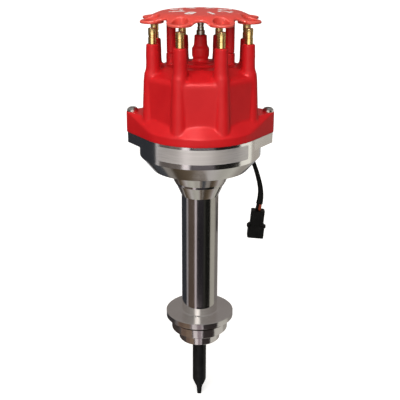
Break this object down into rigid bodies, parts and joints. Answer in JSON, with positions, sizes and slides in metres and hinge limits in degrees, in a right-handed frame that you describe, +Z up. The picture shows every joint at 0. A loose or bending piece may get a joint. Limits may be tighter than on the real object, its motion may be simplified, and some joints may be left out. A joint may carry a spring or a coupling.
{
  "type": "ignition distributor",
  "caption": "Engine ignition distributor: machined housing on a long column, red cap with plug towers, domed wire retainer, tanged drive shaft and short pickup lead.",
  "frame": {"origin": "centre of the face of the housing that seats on the engine block", "axes": "+Z up along the shaft, +X towards the right-hand cap screw, -Y the front"},
  "size_m": [0.1252, 0.1054, 0.3594],
  "materials": {
    "machined_aluminium": "polished",
    "bronze": "satin",
    "bearing_steel": "polished",
    "cage_brass": "satin",
    "dark_steel": "satin",
    "black_steel": "black oxide",
    "plated_steel": "satin",
    "soft_iron": "satin",
    "magnet": "matt",
    "spring_steel": "satin",
    "red_moulding": "glossy",
    "red_rotor": "glossy",
    "red_retainer": "glossy",
    "terminal_brass": "bright",
    "blade_brass": "bright",
    "dark_nickel": "satin",
    "bright_screws": "bright",
    "carbon": "matt",
    "black_plastic": "satin",
    "black_rubber": "satin",
    "pin_brass": "satin"
  },
  "bodies": {
    "base": {"housing": "machined_aluminium", "lower_bushing": "bronze", "bearing_outer_ring": "bearing_steel", "bearing_shields": "dark_steel", "bearing_circlip": "dark_steel", "pickup_bracket": "plated_steel", "pickup_coil": "black_plastic", "pickup_core": "soft_iron", "pickup_magnet": "magnet", "pickup_screws": "plated_steel", "pickup_lead": "black_rubber", "cable_grommet": "black_rubber", "pigtail_cable": "black_rubber", "connector_housing": "black_plastic", "connector_pins": "pin_brass", "cap": "red_moulding", "cap_screws": "bright_screws", "coil_terminal": "dark_nickel", "button_spring": "spring_steel", "wire_retainer": "red_retainer", "plug_terminal_1": "terminal_brass", "plug_terminal_2": "terminal_brass", "plug_terminal_3": "terminal_brass", "plug_terminal_4": "terminal_brass", "plug_terminal_5": "terminal_brass", "plug_terminal_6": "terminal_brass", "plug_terminal_7": "terminal_brass", "plug_terminal_8": "terminal_brass"},
    "shaft": {"drive_shaft": "black_steel", "bearing_inner_ring": "bearing_steel", "shaft_circlip": "dark_steel", "thrust_washer": "bronze", "advance_cam": "plated_steel", "cam_screw": "dark_steel"},
    "advance": {"advance_plate": "plated_steel", "reluctor": "soft_iron", "reluctor_pins": "plated_steel", "weight_pins": "plated_steel", "weight_clips": "dark_steel", "stop_pin": "plated_steel", "stop_bushing": "plated_steel", "stop_nut": "plated_steel", "advance_spring_a": "spring_steel", "advance_spring_b": "spring_steel", "rotor_posts": "plated_steel", "rotor": "red_rotor", "rotor_blade": "blade_brass", "rotor_contact": "blade_brass", "rotor_screws": "plated_steel"},
    "weight_1": {"weight_a": "plated_steel"},
    "weight_2": {"weight_b": "plated_steel"},
    "ball_set": {"bearing_cage": "cage_brass", "bearing_balls": "bearing_steel"},
    "button": {"carbon_button": "carbon"}
  },
  "joints": [
    {"name": "shaft_spin", "type": "hinge", "parent": "base", "child": "shaft", "pos_m": [0, 0, 0], "axis": [0, 0, 1], "continuous": true},
    {"name": "advance_turn", "type": "hinge", "parent": "shaft", "child": "advance", "pos_m": [0, 0, 0.1812], "axis": [0, 0, 1], "range_deg": [0, 12], "stiffness_Nm_per_rad": 0.5, "springref_deg": -8.59, "deforming": ["advance_spring_a", "advance_spring_b"]},
    {"name": "weight_1_swing", "type": "hinge", "parent": "advance", "child": "weight_1", "pos_m": [0, 0.026, 0.1855], "axis": [0, 0, 1], "range_deg": [0, 18]},
    {"name": "weight_2_swing", "type": "hinge", "parent": "advance", "child": "weight_2", "pos_m": [0, -0.026, 0.1855], "axis": [0, 0, 1], "range_deg": [0, 18]},
    {"name": "cage_spin", "type": "hinge", "parent": "base", "child": "ball_set", "pos_m": [0, 0, 0.15385], "axis": [0, 0, 1], "continuous": true},
    {"name": "button_slide", "type": "slide", "parent": "base", "child": "button", "axis": [0, 0, 1], "range_m": [0, 0.0015], "stiffness_N_per_m": 200, "springref_m": -0.002, "deforming": ["button_spring"]}
  ],
  "couplings": [
    {"joint": "weight_1_swing", "follows": "advance_turn", "ratio": 1.5},
    {"joint": "weight_2_swing", "follows": "advance_turn", "ratio": 1.5},
    {"joint": "cage_spin", "follows": "shaft_spin", "ratio": 0.3668}
  ]
}
